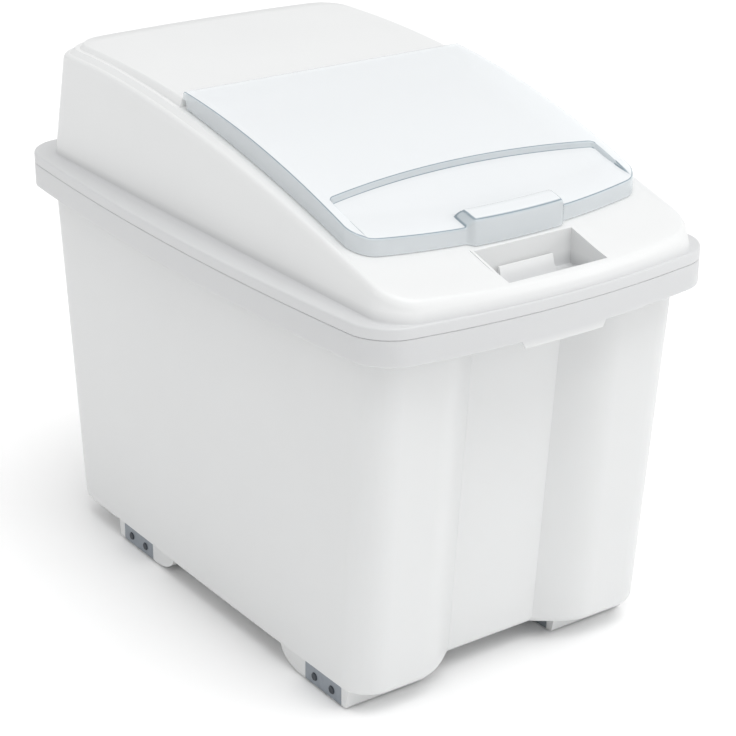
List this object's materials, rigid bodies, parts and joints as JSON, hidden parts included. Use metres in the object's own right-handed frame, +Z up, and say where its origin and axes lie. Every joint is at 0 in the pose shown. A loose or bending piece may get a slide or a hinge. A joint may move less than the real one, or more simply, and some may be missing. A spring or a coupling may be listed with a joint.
{
  "type": "rice bin with flip lid",
  "caption": "Large tapered white plastic bin for rice on small rollers, with a lift-off translucent hood, a clear flip lid on its slope and a finger pocket in front.",
  "frame": {"origin": "on the floor, under the middle of the bin's bounding box", "axes": "+X to the right of the bin seen from the front, -Y out of its front, +Z up"},
  "size_m": [0.432, 0.698, 0.5535],
  "materials": {
    "tub_polyethylene": "satin",
    "hood_polypropylene": "satin",
    "clear_polycarbonate": "gloss",
    "bracket_steel": "satin",
    "pin_steel": "satin",
    "roller_nylon": "satin"
  },
  "bodies": {
    "tub_body": {"tub": "tub_polyethylene", "roller_bracket_front_left": "bracket_steel", "roller_bracket_front_right": "bracket_steel", "roller_bracket_rear_left": "bracket_steel", "roller_bracket_rear_right": "bracket_steel", "bracket_screws_front_left": "pin_steel", "bracket_screws_front_right": "pin_steel", "bracket_screws_rear_left": "pin_steel", "bracket_screws_rear_right": "pin_steel", "axle_pin_front_left_a": "pin_steel", "axle_pin_front_left_b": "pin_steel", "axle_pin_front_right_a": "pin_steel", "axle_pin_front_right_b": "pin_steel", "axle_pin_rear_left_a": "pin_steel", "axle_pin_rear_left_b": "pin_steel", "axle_pin_rear_right_a": "pin_steel", "axle_pin_rear_right_b": "pin_steel"},
    "hood_body": {"hood": "hood_polypropylene"},
    "flip_lid_body": {"flip_lid": "clear_polycarbonate"},
    "roller_front_left_a_body": {"roller_front_left_a": "roller_nylon"},
    "roller_front_left_b_body": {"roller_front_left_b": "roller_nylon"},
    "roller_front_right_a_body": {"roller_front_right_a": "roller_nylon"},
    "roller_front_right_b_body": {"roller_front_right_b": "roller_nylon"},
    "roller_rear_left_a_body": {"roller_rear_left_a": "roller_nylon"},
    "roller_rear_left_b_body": {"roller_rear_left_b": "roller_nylon"},
    "roller_rear_right_a_body": {"roller_rear_right_a": "roller_nylon"},
    "roller_rear_right_b_body": {"roller_rear_right_b": "roller_nylon"}
  },
  "joints": [
    {"name": "hood_lift", "type": "slide", "parent": "tub_body", "child": "hood_body", "axis": [0, 0, 1], "range_m": [0, 0.16]},
    {"name": "flip_lid_hinge", "type": "hinge", "parent": "hood_body", "child": "flip_lid_body", "pos_m": [0, 0.03, 0.54469], "axis": [-1, 0, 0], "range_deg": [0, 135]},
    {"name": "roller_spin_front_left_a", "type": "hinge", "parent": "tub_body", "child": "roller_front_left_a_body", "pos_m": [-0.13, -0.229, 0.0112], "axis": [1, 0, 0], "continuous": true},
    {"name": "roller_spin_front_left_b", "type": "hinge", "parent": "tub_body", "child": "roller_front_left_b_body", "pos_m": [-0.13, -0.199, 0.0112], "axis": [1, 0, 0], "continuous": true},
    {"name": "roller_spin_front_right_a", "type": "hinge", "parent": "tub_body", "child": "roller_front_right_a_body", "pos_m": [0.13, -0.229, 0.0112], "axis": [1, 0, 0], "continuous": true},
    {"name": "roller_spin_front_right_b", "type": "hinge", "parent": "tub_body", "child": "roller_front_right_b_body", "pos_m": [0.13, -0.199, 0.0112], "axis": [1, 0, 0], "continuous": true},
    {"name": "roller_spin_rear_left_a", "type": "hinge", "parent": "tub_body", "child": "roller_rear_left_a_body", "pos_m": [-0.13, 0.135, 0.0112], "axis": [1, 0, 0], "continuous": true},
    {"name": "roller_spin_rear_left_b", "type": "hinge", "parent": "tub_body", "child": "roller_rear_left_b_body", "pos_m": [-0.13, 0.165, 0.0112], "axis": [1, 0, 0], "continuous": true},
    {"name": "roller_spin_rear_right_a", "type": "hinge", "parent": "tub_body", "child": "roller_rear_right_a_body", "pos_m": [0.13, 0.135, 0.0112], "axis": [1, 0, 0], "continuous": true},
    {"name": "roller_spin_rear_right_b", "type": "hinge", "parent": "tub_body", "child": "roller_rear_right_b_body", "pos_m": [0.13, 0.165, 0.0112], "axis": [1, 0, 0], "continuous": true}
  ]
}
